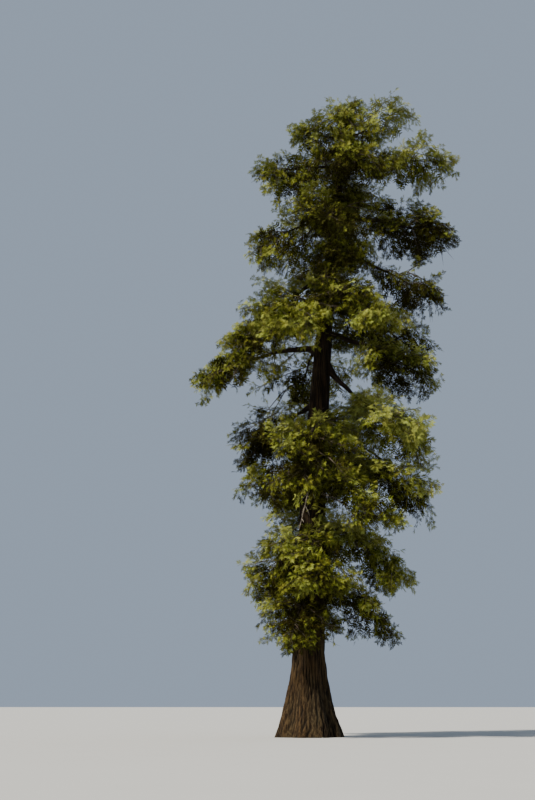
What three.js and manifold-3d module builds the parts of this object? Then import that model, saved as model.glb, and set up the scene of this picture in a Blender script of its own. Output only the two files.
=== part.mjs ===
// A mature coast redwood, 32 m tall: a fluted trunk that flares at its foot and leans a little,
// the main boughs that droop from it, and the masses of needle sprays that the boughs carry.
// Millimetres, +Z up. The origin is the middle of the flat cut at ground level, the trunk leans
// towards +X, and -Y is the front.

import * as THREE from "three";
import { mergeVertices } from "three/addons/utils/BufferGeometryUtils.js";
import Module from "manifold-3d";

const wasm = await Module();
wasm.setup();
const { Manifold, Mesh } = wasm;

// Trunk
const treeHeight = 32000;
const trunkHeight = 30400; // the leader's sprays carry on above this
const leanAtTop = 2500;
const leanPower = 1.8;
const boleRadius = 800; // the bole's radius carried down to the ground, without its flare
const boleTaper = 0.79;
const leaderRadius = 14;
const flareReach = 690; // how far the foot stands out past the bole at ground level
const flareHeight = 4000;
const fluteDepth = 0.11; // share of the radius, at the ground
const fluteFloor = 0.018; // share of the radius, high up
const fluteHeight = 3400;
const flutes = [
  { count: 5, share: 0.45, phase: 0.6 },
  { count: 8, share: 0.55, phase: 2.1 },
];

// Limbs
const limbSlenderness = 0.024; // radius at the root over the limb's reach
const limbTaper = 0.84; // share of that radius lost by the tip
const seat = 0.3; // clearance between solids that meet
const skipGap = 20; // a twig or spray nearer than this to another solid is left out
const stemEnd = 0.9; // where the stem stops and its last spray goes on

// Sprays of needles, each one blade with a tooth on either side, as shares of its length
const sprayThickness = 0.06;
const spraySpine = 0.44; // where the blade is thickest
const sprayOutline = [
  [0, 0],
  [0.4, 0.33],
  [0.58, 0.15],
  [1, 0.02],
  [0.74, -0.3],
  [0.36, -0.22],
];
const sprayTries = [1, 0.85, 0.7]; // sizes tried before a spray that won't fit is left out
const sprayShortest = 550;
const sprayLongest = 2300;

const twigSpacing = 1350;
const twigRadius = 50;
const twigShare = 0.5; // of the way from the stem to the edge of the mass's space
const twigRolls = [0.5, 0.9, -0.3, 0.1]; // radians up out of the stem's level, in turn
const spaceReach = 1.2; // how far past its space's edge a spray may stand
const spaceHang = 0.12; // of its depth, below the limb
const coreTries = [0.64, 0.56, 0.48, 0.4]; // sizes tried for a dense mass's core
const coreLobes = 4;
const coreLobe = 0.18;
const coreRough = 0.22;
const coreLeast = 0.25;

// The crown from the top down. root and tip are heights at the trunk and at the furthest spray,
// width and depth are a mass's own space, and each limb has its compass angle (0 is +X, 270 the
// front), its reach from the trunk's axis and the share of it that is bare bough. spring lifts
// a limb above the straight line to its tip, and sag above 1 leaves most of its fall to the end.
const tiers = [
  {
    name: "crest", root: 29500, tip: 30400, width: 3700, depth: 2900,
    limbs: [
      { side: "right", angle: 350, reach: 3250, tip: 31200 },
      { side: "back", angle: 80, reach: 3000, root: 29200 },
      { side: "left", angle: 172, reach: 2700, root: 29700 },
      { side: "front", angle: 262, reach: 2900, root: 29400, tip: 30000 },
    ],
  },
  {
    name: "shoulder", root: 28000, tip: 27100, width: 4900, depth: 3600,
    limbs: [
      { side: "right", angle: 352, reach: 5700, bough: 0.26, tip: 27900, width: 3900, depth: 2600 },
      { side: "back", angle: 92, reach: 4800, width: 6800 },
      { side: "left", angle: 203, reach: 4400, tip: 26800 },
      { side: "front", angle: 284, reach: 4100, root: 27600, tip: 26900, width: 5600 },
    ],
  },
  {
    name: "upper", root: 25200, tip: 23400, width: 5000, depth: 3500,
    limbs: [
      { side: "right", angle: 347, reach: 5900, bough: 0.3, tip: 23100, width: 3700, depth: 2600 },
      { side: "back_right", angle: 26, reach: 5700, bough: 0.28, root: 26400, tip: 24900, depth: 2600 },
      { side: "back", angle: 98, reach: 5200, width: 6200, depth: 3800 },
      { side: "left", angle: 182, reach: 4200, bough: 0.26 },
      { side: "front", angle: 262, reach: 4200, width: 5400 },
      { side: "front_low", angle: 284, reach: 3700, root: 23500, tip: 21600, width: 4200, depth: 2400 },
    ],
  },
  {
    name: "middle", root: 22000, tip: 19700, width: 5200, depth: 3500,
    limbs: [
      { side: "right", angle: 354, reach: 5300, bough: 0.3, root: 23200, tip: 20300, depth: 2600 },
      { side: "back", angle: 62, reach: 5400, width: 5800 },
      { side: "left", angle: 150, reach: 5000, bough: 0.26 },
      { side: "front_left", angle: 236, reach: 4800, root: 20900, tip: 17900, width: 4800 },
      { side: "front_right", angle: 298, reach: 4700, root: 21300, tip: 18400, width: 5000 },
    ],
  },
  {
    name: "waist", root: 19000, tip: 16700, width: 4200, depth: 2700,
    limbs: [
      { side: "right_high", angle: 20, reach: 5500, bough: 0.3, root: 20600, tip: 18100 },
      { side: "right", angle: 344, reach: 5250, bough: 0.34, root: 18900, tip: 16100 },
      { side: "back", angle: 106, reach: 5600, bough: 0.24, width: 6200, depth: 4200 },
      { side: "left", angle: 180, reach: 6250, bough: 0.28, root: 18300, tip: 16700 },
      { side: "left_high", angle: 207, reach: 5200, bough: 0.26, root: 19500, tip: 17600 },
    ],
  },
  {
    name: "lower", root: 15400, tip: 12900, width: 5400, depth: 3700,
    limbs: [
      { side: "right", angle: 334, reach: 5050, bough: 0.34, root: 17900, tip: 12900, spring: 0, sag: 0.75 },
      { side: "back", angle: 64, reach: 5700 },
      { side: "left", angle: 158, reach: 3900, bough: 0.24 },
      { side: "front", angle: 262, reach: 4700, bough: 0.2, root: 14500, tip: 10900 },
    ],
  },
  {
    name: "apron", root: 12800, tip: 10300, width: 5400, depth: 3500,
    limbs: [
      { side: "right", angle: 350, reach: 5300, bough: 0.26 },
      { side: "back", angle: 102, reach: 5400, bough: 0.22, tip: 11500, width: 6000 },
      { side: "left", angle: 207, reach: 3050, tip: 10800, width: 4400, depth: 2900 },
      { side: "front", angle: 300, reach: 5000, bough: 0.2, root: 12600, tip: 9300 },
    ],
  },
  {
    name: "skirt", root: 9700, tip: 6900, width: 5200, depth: 3400,
    limbs: [
      { side: "right", angle: 337, reach: 4500, tip: 6700 },
      { side: "back", angle: 90, reach: 5200, width: 7000, depth: 4000 },
      { side: "left", angle: 205, reach: 2750, root: 8700, tip: 6100, depth: 3000 },
      { side: "front", angle: 272, reach: 4400, root: 9200, tip: 6300, width: 4500 },
    ],
  },
  {
    name: "hem", root: 7000, tip: 4500, width: 4000, depth: 2600,
    limbs: [
      { side: "right", angle: 340, reach: 3800 },
      { side: "back", angle: 92, reach: 4100, width: 5000 },
      { side: "front", angle: 256, reach: 3500, root: 6500, tip: 4000, width: 4100 },
    ],
  },
];

const up = new THREE.Vector3(0, 0, 1);
const radians = THREE.MathUtils.degToRad;
const outwards = (angle) => new THREE.Vector3(Math.cos(angle), Math.sin(angle), 0);

// A repeatable stream of numbers from 0 to 1.
function seeded(seed) {
  let state = seed >>> 0;
  return () => {
    state = (state + 0x6d2b79f5) >>> 0;
    let mixed = Math.imul(state ^ (state >>> 15), state | 1);
    mixed = (mixed + Math.imul(mixed ^ (mixed >>> 7), mixed | 61)) ^ mixed;
    return ((mixed ^ (mixed >>> 14)) >>> 0) / 4294967296;
  };
}

// A shape's faces joined at their corners, without its normals and uvs.
function welded(geometry) {
  const bare = new THREE.BufferGeometry();
  bare.setAttribute("position", geometry.getAttribute("position"));
  bare.setIndex(geometry.index);
  return mergeVertices(bare, 1e-3);
}

function solidOf(geometry) {
  const merged = welded(geometry);
  const vertProperties = merged.attributes.position.array;
  const triVerts = new Uint32Array(merged.index.array);
  return new Manifold(new Mesh({ numProp: 3, vertProperties, triVerts }));
}

function geometryOf(solid) {
  const { numProp, vertProperties, triVerts } = solid.getMesh();
  const geometry = new THREE.BufferGeometry();
  const buffer = new THREE.InterleavedBuffer(vertProperties, numProp);
  geometry.setAttribute("position", new THREE.InterleavedBufferAttribute(buffer, 3, 0));
  geometry.setIndex(new THREE.BufferAttribute(triVerts, 1));
  const loose = geometry.toNonIndexed();
  loose.computeVertexNormals();
  return loose;
}

// A closed tube: a cylinder whose rings are laid along a path. place(t, x, y) gives the point
// for a ring's unit x and y at t from 0 to 1.
function lofted(sides, steps, place) {
  const cylinder = new THREE.CylinderGeometry(1, 1, 1, sides, steps);
  const position = cylinder.attributes.position;
  for (let i = 0; i < position.count; i++) {
    const point = place(position.getY(i) + 0.5, position.getZ(i), position.getX(i));
    position.setXYZ(i, point.x, point.y, point.z);
  }
  return solidOf(cylinder);
}

function trunkCentre(z) {
  const rise = Math.min(z / treeHeight, 1);
  return new THREE.Vector3(leanAtTop * rise ** leanPower, 0, z);
}

function boleRadiusAt(z) {
  const bole = boleRadius * Math.max(1 - z / treeHeight, 0) ** boleTaper;
  const flare = flareReach * Math.max(1 - z / flareHeight, 0) ** 2;
  return Math.max(bole + flare, leaderRadius);
}

function trunkRadius(z, angle) {
  const depth = fluteFloor + (fluteDepth - fluteFloor) * Math.exp(-((z / fluteHeight) ** 2));
  const wave = flutes.reduce((sum, f) => sum + f.share * Math.cos(f.count * angle + f.phase), 0);
  return boleRadiusAt(z) * (1 + depth * wave);
}

function trunkSolid(clearance) {
  return lofted(24, 13, (t, x, y) => {
    const z = trunkHeight * t ** 1.7 + (t === 1 ? clearance : 0);
    const middle = x === 0 && y === 0;
    const angle = Math.atan2(y, x);
    const radius = middle ? 0 : trunkRadius(z, angle) + clearance;
    return trunkCentre(z).add(outwards(angle).multiplyScalar(radius));
  });
}

// A limb's line, from the trunk's axis at s = 0 to its furthest spray at s = 1: it leaves the
// trunk a little above the straight line to its tip, and sags the more the further out it is.
function limbPoint(limb, s) {
  const spring = limb.spring * limb.reach * s * (1 - s);
  const fall = (limb.root - limb.tip) * Math.max(s, 0) ** limb.sag;
  const line = trunkCentre(limb.root).addScaledVector(outwards(limb.angle), limb.reach * s);
  return line.addScaledVector(up, spring - fall);
}

function limbRadius(limb, s) {
  return (limb.thick ?? limb.reach * limbSlenderness) * (1 - limbTaper * s);
}

// The way the limb runs at s, the level way across it, and the third way, which is mostly up.
function limbFrame(limb, s) {
  const step = 0.01;
  const along = limbPoint(limb, s + step).sub(limbPoint(limb, s - step)).normalize();
  const across = new THREE.Vector3().crossVectors(along, limb.upright ?? up).normalize();
  const over = new THREE.Vector3().crossVectors(across, along);
  return { along, across, over };
}

function limbTube(limb, from, to, sides, steps, clearance) {
  return lofted(sides, steps, (t, x, y) => {
    const s = from + (to - from) * t;
    const { across, over } = limbFrame(limb, s);
    const radius = limbRadius(limb, s) + clearance;
    return limbPoint(limb, s).addScaledVector(over, x * radius).addScaledVector(across, y * radius);
  });
}

// One toothed blade a unit long, from its root at the origin along +X, flat in XY and thickest
// down its middle.
function sprayBlade() {
  const points = sprayOutline.flatMap(([along, across]) => [along, across, 0]);
  points.push(spraySpine, 0, sprayThickness / 2, spraySpine, 0, -sprayThickness / 2);
  const count = sprayOutline.length;
  const faces = sprayOutline.flatMap((_, i) => {
    const next = (i + 1) % count;
    return [next, i, count, i, next, count + 1];
  });
  const geometry = new THREE.BufferGeometry();
  geometry.setAttribute("position", new THREE.BufferAttribute(new Float32Array(points), 3));
  geometry.setIndex(faces);
  return solidOf(geometry);
}

const blade = sprayBlade();

// A mass's own space: a flattened ball on the chord of its stem. depthIn is under 1 inside it,
// and wayOut is how far it is from a point inside it to its edge.
function massSpace(limb) {
  const start = limbPoint(limb, limb.bare);
  const end = limbPoint(limb, 1);
  const along = end.clone().sub(start).normalize();
  const across = new THREE.Vector3().crossVectors(along, limb.upright ?? up).normalize();
  const over = new THREE.Vector3().crossVectors(across, along);
  const axes = [along, across, over];
  const hang = limb.upright ? 0 : spaceHang * limb.depth;
  const centre = limbPoint(limb, (limb.bare + 1) / 2).addScaledVector(up, -hang);
  const half = [start.distanceTo(end) * 0.54, limb.width / 2, limb.depth / 2];
  const scaled = (vector) => new THREE.Vector3(...axes.map((axis, k) => vector.dot(axis) / half[k]));
  const depthIn = (point) => scaled(point.clone().sub(centre)).length();
  const wayOut = (point, way) => {
    const [from, step] = [scaled(point.clone().sub(centre)), scaled(way)];
    const [a, b, c] = [step.lengthSq(), from.dot(step), from.lengthSq() - 1];
    return (Math.sqrt(Math.max(b * b - a * c, 0)) - b) / a;
  };
  return { centre, axes, half, depthIn, wayOut };
}

function makeLimbs() {
  const limbs = [];
  for (const tier of tiers) {
    for (const own of tier.limbs) {
      const sizes = { root: tier.root, tip: tier.tip, width: tier.width, depth: tier.depth };
      const droops = (own.root ?? tier.root) > (own.tip ?? tier.tip);
      const line = droops ? { spring: 0.16, sag: 1.35 } : { spring: 0.05, sag: 1 };
      const name = `${tier.name}_${own.side}`;
      limbs.push({ ...sizes, ...line, ...own, name, angle: radians(own.angle), bare: own.bough ?? 0.02 });
    }
  }
  return limbs;
}

// The leader's mass stands straight up on the trunk's tip, and has no core.
function makeLeader() {
  return {
    name: "leader",
    angle: 0,
    reach: 300,
    root: trunkHeight,
    tip: treeHeight,
    width: 1700,
    depth: 1700,
    spring: 0,
    sag: 1,
    bare: seat / (treeHeight - trunkHeight),
    upright: new THREE.Vector3(0, 1, 0),
    thick: 65,
    lastSpray: 0.4,
    open: true,
  };
}

// Dead limbs, bare and tapering, that hang under the living masses.
const deadLimbs = [
  { name: "left", angle: 245, reach: 1800, root: 12100, tip: 9100, sag: 1 },
  { name: "right", angle: 312, reach: 2700, root: 11100, tip: 9700, sag: 1.5 },
].map((own) => ({ ...own, angle: radians(own.angle), spring: 0.16 }));

function twigTube(start, end, radius) {
  const along = end.clone().sub(start).normalize();
  const aside = Math.abs(along.z) < 0.9 ? up : new THREE.Vector3(1, 0, 0);
  const across = new THREE.Vector3().crossVectors(along, aside).normalize();
  const over = new THREE.Vector3().crossVectors(across, along);
  return lofted(3, 1, (t, x, y) => {
    const wide = radius * (1 - 0.55 * t);
    return start.clone().lerp(end, t).addScaledVector(over, x * wide).addScaledVector(across, y * wide);
  });
}

function placedBlade(root, along, over, size) {
  const x = along.clone().normalize();
  const y = new THREE.Vector3().crossVectors(over, x).normalize();
  const z = new THREE.Vector3().crossVectors(x, y);
  const matrix = new THREE.Matrix4().makeBasis(x, y, z).scale(new THREE.Vector3(size, size, size));
  matrix.setPosition(root);
  return blade.transform(matrix.elements);
}

function pointsOf(solid) {
  const { numProp, vertProperties } = solid.getMesh();
  const points = [];
  for (let i = 0; i < vertProperties.length; i += numProp) {
    points.push(new THREE.Vector3(vertProperties[i], vertProperties[i + 1], vertProperties[i + 2]));
  }
  return points;
}

function boxesMeet(a, b, gap) {
  const [one, other] = [a.boundingBox(), b.boundingBox()];
  return [0, 1, 2].every((k) => one.min[k] - gap < other.max[k] && other.min[k] - gap < one.max[k]);
}

function clearOf(piece, solids) {
  const near = solids.filter((other) => boxesMeet(piece, other, skipGap));
  return near.every((other) => piece.minGap(other, skipGap) >= skipGap);
}

// The core of a dense mass: a lumpy flattened ball whose lobed rim hangs down, drawn in
// wherever it would come nearer to another mass.
function coreSolid(space, share, inside, seed) {
  const random = seeded(seed);
  const ball = welded(new THREE.SphereGeometry(1, 2 * coreLobes, 4));
  const position = ball.attributes.position;
  for (let i = 0; i < position.count; i++) {
    const unit = new THREE.Vector3().fromBufferAttribute(position, i);
    const rim = 1 - unit.y ** 2;
    const lobe = coreLobe * rim * Math.cos(coreLobes * Math.atan2(unit.z, unit.x));
    const offset = new THREE.Vector3(0, 0, -0.35 * space.half[2] * rim);
    const parts = [unit.x, unit.z, unit.y];
    parts.forEach((part, k) => offset.addScaledVector(space.axes[k], part * space.half[k]));
    let size = share * (1 + lobe + coreRough * (random() - 0.5));
    while (size > coreLeast && !inside(space.centre.clone().addScaledVector(offset, size))) size *= 0.9;
    position.setXYZ(i, ...space.centre.clone().addScaledVector(offset, size));
  }
  return solidOf(ball);
}

// The twigs of a mass, by a seeded rule: they leave the stem left and right in turn, swept
// forward and rolled out of its level, and reach part of the way to the edge of the space.
function twigPlan(limb, space, random) {
  const stemLength = limbPoint(limb, limb.bare).distanceTo(limbPoint(limb, 1));
  const count = Math.max(3, Math.round(stemLength / twigSpacing));
  const twigs = [];
  for (let i = 0; i < count; i++) {
    const u = (i + 0.6) / count;
    const s = limb.bare + (stemEnd - limb.bare) * u;
    const { along, across, over } = limbFrame(limb, s);
    const side = i % 2 ? 1 : -1;
    const sweep = radians(80 - 44 * u);
    const roll = twigRolls[i % twigRolls.length] + 0.4 * (random() - 0.5);
    const way = along.clone().multiplyScalar(Math.cos(sweep));
    way.addScaledVector(across, side * Math.sin(sweep) * Math.cos(roll));
    way.addScaledVector(over, Math.sin(sweep) * Math.sin(roll)).normalize();
    const start = limbPoint(limb, s);
    const length = space.wayOut(start, way) * twigShare * (0.9 + 0.2 * random());
    twigs.push({ s, start, way, length });
  }
  return twigs;
}

// Two sprays on each twig: one hangs from its side, and one carries on past its end.
function spraysOn(twig, limb, space, random) {
  const { along } = limbFrame(limb, twig.s);
  const out = outwards(limb.angle);
  const level = new THREE.Vector3().crossVectors(twig.way, up).normalize();
  const turn = random() < 0.5 ? 1 : -1;
  const hanging = twig.way.clone().addScaledVector(along, 0.6 * turn);
  hanging.addScaledVector(up, -0.4 - 0.5 * random()).normalize();
  const ending = twig.way.clone().addScaledVector(level, random() - 0.5);
  ending.addScaledVector(up, -0.3 * random()).normalize();
  return [
    { at: 0.86, way: hanging, over: level.clone().addScaledVector(out, 2 * (random() - 0.5)) },
    { at: 0.94, way: ending, over: up.clone().addScaledVector(level, 1.8 * (random() - 0.5)) },
  ].map(({ at, way, over }) => {
    const root = twig.start.clone().addScaledVector(twig.way, twig.length * at);
    const room = space.wayOut(root, way) * (1.1 + 0.15 * random());
    return { root, way, over, size: THREE.MathUtils.clamp(room, sprayShortest, sprayLongest) };
  });
}

function largestBody(solid) {
  return solid.decompose().sort((a, b) => b.volume() - a.volume())[0];
}

// A mass in one solid: its stem, its core if it is dense, and every twig and spray of the plan
// that stays in the mass's space, nearer to its middle than to any other mass's, and clear of
// the other solids.
function massSolid(limb, spaces, solids, grownTrunk, seed) {
  const random = seeded(seed);
  const space = spaces.get(limb.name);
  const near = [...spaces.values()].filter((other) => other !== space);
  const inside = (point) => {
    const own = space.depthIn(point);
    return own < spaceReach && near.every((other) => other.depthIn(point) > own + 0.02);
  };
  const fitted = ({ root, way, over, size }) => {
    const pieces = sprayTries.map((share) => placedBlade(root, way, over, size * share));
    return pieces.find((piece) => pointsOf(piece).every(inside) && clearOf(piece, solids));
  };
  const reachOut = limbPoint(limb, limb.bare).distanceTo(limbPoint(limb, 1));
  const pieces = [limbTube(limb, limb.bare + seat / reachOut, stemEnd, 3, 3, 0)];
  if (!limb.open) {
    const cores = coreTries.map((share) => coreSolid(space, share, inside, seed + 1));
    const core = cores.find((each) => clearOf(each, solids.slice(1)));
    if (core) pieces.push(core);
  }
  for (const twig of twigPlan(limb, space, random)) {
    const sprays = spraysOn(twig, limb, space, random).map(fitted).filter(Boolean);
    const end = twig.start.clone().addScaledVector(twig.way, twig.length);
    const tube = twigTube(twig.start, end, Math.min(twigRadius, 0.8 * limbRadius(limb, twig.s)));
    if (sprays.length && clearOf(tube, solids)) pieces.push(tube, ...sprays);
  }
  const { along, over } = limbFrame(limb, stemEnd);
  const last = limbPoint(limb, limb.lastSpray ?? stemEnd - 0.1);
  pieces.push(placedBlade(last, along, over, last.distanceTo(limbPoint(limb, 1))));
  const fused = largestBody(Manifold.union(pieces).simplify(15));
  return largestBody(fused.subtract(grownTrunk));
}

const barkMaterial = new THREE.MeshStandardMaterial({ color: 0x4a3426, roughness: 0.95, metalness: 0 });
const boughMaterial = new THREE.MeshStandardMaterial({ color: 0x3b2c22, roughness: 0.95, metalness: 0 });
const needleMaterial = new THREE.MeshStandardMaterial({ color: 0x4a5a24, roughness: 0.8, metalness: 0 });

// Each mesh's own origin is where its solid starts, and the mesh is placed there.
function placedMesh(name, solid, origin, material) {
  const local = solid.translate([-origin.x, -origin.y, -origin.z]);
  const mesh = new THREE.Mesh(geometryOf(local), material);
  mesh.name = name;
  mesh.position.copy(origin);
  return mesh;
}

function buildTree() {
  const tree = new THREE.Group();
  tree.name = "coast_redwood";
  const trunk = trunkSolid(0);
  const grownTrunk = trunkSolid(seat);
  tree.add(placedMesh("trunk", trunk, new THREE.Vector3(), barkMaterial));

  const limbs = [makeLeader(), ...makeLimbs()];
  const solids = [trunk];
  const addBareLimb = (limb, name, end) => {
    const solid = largestBody(limbTube(limb, 0, end, 5, 3, 0).subtract(grownTrunk));
    solids.push(solid);
    tree.add(placedMesh(name, solid, limbPoint(limb, 0), boughMaterial));
  };
  limbs.filter((limb) => limb.bough).forEach((limb) => addBareLimb(limb, `bough_${limb.name}`, limb.bough));
  deadLimbs.forEach((limb) => addBareLimb(limb, `dead_limb_${limb.name}`, 1));

  const spaces = new Map(limbs.map((limb) => [limb.name, massSpace(limb)]));
  limbs.forEach((limb, index) => {
    const solid = massSolid(limb, spaces, solids, grownTrunk, 101 + 37 * index);
    solids.push(solid);
    tree.add(placedMesh(`foliage_${limb.name}`, solid, limbPoint(limb, limb.bare), needleMaterial));
  });
  return tree;
}

export default buildTree();
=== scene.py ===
# A mature coast redwood, 32 m tall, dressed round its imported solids: bark with real relief on the
# trunk and limbs, and twigs and needle sprays grown by the same seeded rule as the solids.
# Metres, +Z up. The origin is the middle of the trunk's cut at ground level, -Y is the front.

import math
from statistics import NormalDist

import bpy
import numpy as np
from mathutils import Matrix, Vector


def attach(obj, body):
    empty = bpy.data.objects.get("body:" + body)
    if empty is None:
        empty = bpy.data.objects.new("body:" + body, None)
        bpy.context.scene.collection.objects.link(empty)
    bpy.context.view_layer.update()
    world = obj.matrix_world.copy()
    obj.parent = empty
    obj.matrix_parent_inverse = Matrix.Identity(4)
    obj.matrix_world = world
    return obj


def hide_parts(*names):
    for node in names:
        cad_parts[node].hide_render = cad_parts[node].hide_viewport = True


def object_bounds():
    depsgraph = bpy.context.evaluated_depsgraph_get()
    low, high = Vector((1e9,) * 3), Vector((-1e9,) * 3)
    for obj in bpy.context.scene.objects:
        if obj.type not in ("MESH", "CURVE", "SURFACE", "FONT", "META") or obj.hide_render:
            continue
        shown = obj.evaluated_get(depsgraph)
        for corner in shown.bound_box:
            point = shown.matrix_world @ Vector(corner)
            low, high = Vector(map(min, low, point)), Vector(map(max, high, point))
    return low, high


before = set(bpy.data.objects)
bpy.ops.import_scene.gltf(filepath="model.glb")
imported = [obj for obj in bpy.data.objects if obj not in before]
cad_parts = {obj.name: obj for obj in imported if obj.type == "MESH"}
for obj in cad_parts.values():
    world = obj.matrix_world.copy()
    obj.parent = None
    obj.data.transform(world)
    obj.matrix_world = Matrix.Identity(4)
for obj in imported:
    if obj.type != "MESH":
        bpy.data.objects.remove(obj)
cadLow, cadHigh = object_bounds()
print("frame loaded:", len(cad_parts), "nodes")

up = np.array([0.0, 0.0, 1.0])


# Camera, light and floor

cameraSetup = {
    "place": (0.0, -52.2, 1.44),
    "pitch": 15.29,  # degrees up
    "yaw": 1.9985,  # degrees to the left
    "lens": 50.0,
    "sensor": 36.0,
    "nearest": 0.5,
    "furthest": 2000.0,
}
lightSetup = {
    "keyAngles": (42.0, -8.0, -45.0),  # degrees: the sun stands high, left of the camera
    "keyPower": 9.0,
    "keySpread": 5.0,
    "keyColour": (1.0, 0.93, 0.80),
    "fillAngles": (62.0, 0.0, 140.0),
    "fillPower": 0.45,
    "fillSpread": 60.0,
    "fillColour": (0.80, 0.89, 1.0),
    "skyColour": (0.55, 0.67, 0.85),
    "skyPower": 0.56,
}
floorSetup = {
    "size": 900.0,
    "drop": 0.004,  # below the cut, so that the two faces don't fight
    "colour": (0.37, 0.37, 0.36),
    "grain": 0.4,
    "grainDetail": 2.0,
    "paler": 1.05,  # how much lighter the grain is in places
    "roughness": 0.9,
}


def addCamera(setup):
    data = bpy.data.cameras.new("camera")
    data.lens = setup["lens"]
    data.sensor_width = setup["sensor"]
    data.clip_start = setup["nearest"]
    data.clip_end = setup["furthest"]
    camera = bpy.data.objects.new("camera", data)
    camera.location = setup["place"]
    camera.rotation_euler = (math.radians(90.0 + setup["pitch"]), 0.0, math.radians(setup["yaw"]))
    bpy.context.scene.collection.objects.link(camera)
    bpy.context.scene.camera = camera


def addSun(name, angles, power, spread, colour):
    data = bpy.data.lights.new(name, "SUN")
    data.energy = power
    data.angle = math.radians(spread)
    data.color = colour
    sun = bpy.data.objects.new(name, data)
    sun.rotation_euler = [math.radians(a) for a in angles]
    bpy.context.scene.collection.objects.link(sun)


def addSky(colour, power):
    world = bpy.data.worlds.new("paleSky")
    world.use_nodes = True
    background = world.node_tree.nodes["Background"]
    background.inputs["Color"].default_value = (*colour, 1.0)
    background.inputs["Strength"].default_value = power
    bpy.context.scene.world = world


unstretched = (1.0, 1.0, 1.0)
noiseSpan = (0.35, 0.65)  # most of a noise lies between these


def node(tree, kind, links=(), **values):
    made = tree.nodes.new(kind)
    for socket, value in values.items():
        made.inputs[socket].default_value = value
    for source, socket in links:
        tree.links.new(source, made.inputs[socket])
    return made


def newMaterial(name):
    material = bpy.data.materials.new(name)
    material.use_nodes = True
    tree = material.node_tree
    shader = tree.nodes["Principled BSDF"]
    return material, tree, shader


# A mix node has sockets for each kind of value, so those for colours go by number.
def blendColours(tree, share, first, second):
    made = tree.nodes.new("ShaderNodeMix")
    made.data_type = "RGBA"
    tree.links.new(share, made.inputs[0])
    for socket, colour in ((made.inputs[6], first), (made.inputs[7], second)):
        if isinstance(colour, tuple):
            socket.default_value = (*colour, 1.0)
        else:
            tree.links.new(colour, socket)
    return made.outputs[2]


def stretchedNoise(tree, scale, stretch, detail, roughness=0.6):
    place = node(tree, "ShaderNodeTexCoord")
    mapping = node(tree, "ShaderNodeMapping", [(place.outputs["Object"], "Vector")], Scale=stretch)
    noise = node(tree, "ShaderNodeTexNoise", [(mapping.outputs["Vector"], "Vector")],
                 Scale=scale, Detail=detail, Roughness=roughness)
    return noise.outputs["Fac"]


def ranged(tree, value, low, high, outLow=0.0, outHigh=1.0):
    ends = {"From Min": low, "From Max": high, "To Min": outLow, "To Max": outHigh}
    return node(tree, "ShaderNodeMapRange", [(value, "Value")], **ends).outputs["Result"]


def bumpFrom(tree, height, strength, distance):
    made = node(tree, "ShaderNodeBump", [(height, "Height")], Strength=strength, Distance=distance)
    return made.outputs["Normal"]


def floorMaterial(setup):
    material, tree, shader = newMaterial("paleFloor")
    grain = stretchedNoise(tree, setup["grain"], unstretched, setup["grainDetail"])
    paler = tuple(min(c * setup["paler"], 1.0) for c in setup["colour"])
    tree.links.new(blendColours(tree, grain, setup["colour"], paler), shader.inputs["Base Color"])
    shader.inputs["Roughness"].default_value = setup["roughness"]
    return material


def meshPiece(name, points, triangles, materials, shades=None, smooth=False):
    mesh = bpy.data.meshes.new(name)
    points = np.asarray(points, np.float32).reshape(-1, 3)
    triangles = np.asarray(triangles, np.int32).reshape(-1, 3)
    mesh.vertices.add(len(points))
    mesh.vertices.foreach_set("co", points.ravel())
    mesh.loops.add(triangles.size)
    mesh.loops.foreach_set("vertex_index", triangles.ravel())
    mesh.polygons.add(len(triangles))
    mesh.polygons.foreach_set("loop_start", np.arange(0, triangles.size, 3, dtype=np.int32))
    for material in materials:
        mesh.materials.append(material)
    if shades is not None:
        mesh.polygons.foreach_set("material_index", np.asarray(shades, np.int32))
    mesh.polygons.foreach_set("use_smooth", np.full(len(triangles), smooth))
    mesh.update(calc_edges=True)
    mesh.validate()
    piece = bpy.data.objects.new(name, mesh)
    bpy.context.scene.collection.objects.link(piece)
    return piece


def addFloor(setup):
    half = setup["size"] / 2
    corners = [(x * half, y * half, -setup["drop"]) for x, y in ((-1, -1), (1, -1), (1, 1), (-1, 1))]
    floor = meshPiece("floor", corners, [(0, 1, 2), (0, 2, 3)], [floorMaterial(setup)])


addCamera(cameraSetup)
for part in ("key", "fill"):
    addSun(part, *(lightSetup[part + key] for key in ("Angles", "Power", "Spread", "Colour")))
addSky(lightSetup["skyColour"], lightSetup["skyPower"])
addFloor(floorSetup)
print("camera, light and floor set")


# The tree's own lines, as its solids have them

trunkShape = {
    "treeHeight": 32.0,
    "trunkHeight": 30.4,
    "leanAtTop": 2.5,
    "leanPower": 1.8,
    "boleRadius": 0.8,
    "boleTaper": 0.79,
    "leaderRadius": 0.014,
    "flareReach": 0.69,
    "flareHeight": 4.0,
    "fluteDepth": 0.11,
    "fluteFloor": 0.018,
    "fluteHeight": 3.4,
    "flutes": ((5, 0.45, 0.6), (8, 0.55, 2.1)),  # count, share, phase
}
limbShape = {
    "slenderness": 0.024,  # radius at its foot, of its reach
    "taper": 0.84,
    "stemEnd": 0.9,  # where its last main twig may leave it
    "spaceHang": 0.12,  # of the mass's depth, that its space hangs below it
    "spaceReach": 1.2,  # of the space, that foliage may fill
    "chordShare": 0.54,  # half the space's length, of the limb's length in it
    "bare": 0.02,
    "droopSpring": 0.16,
    "droopSag": 1.35,
    "riseSpring": 0.05,
    "tipFrom": 0.66,  # where the spray at a limb's tip starts
}
twigRule = {
    "spacing": 1.35,
    "fewest": 3,
    "firstAt": 0.6,  # of the spacing
    "share": 0.5,  # of the way out of the mass
    "lengths": (0.9, 0.2),  # the least, and the spread above it
    "rolls": (0.5, 0.9, -0.3, 0.1),
    "rollSpread": 0.4,
    "sweep": 80.0,  # degrees at the limb's foot
    "sweepGain": 44.0,  # degrees less at its tip
}
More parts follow.
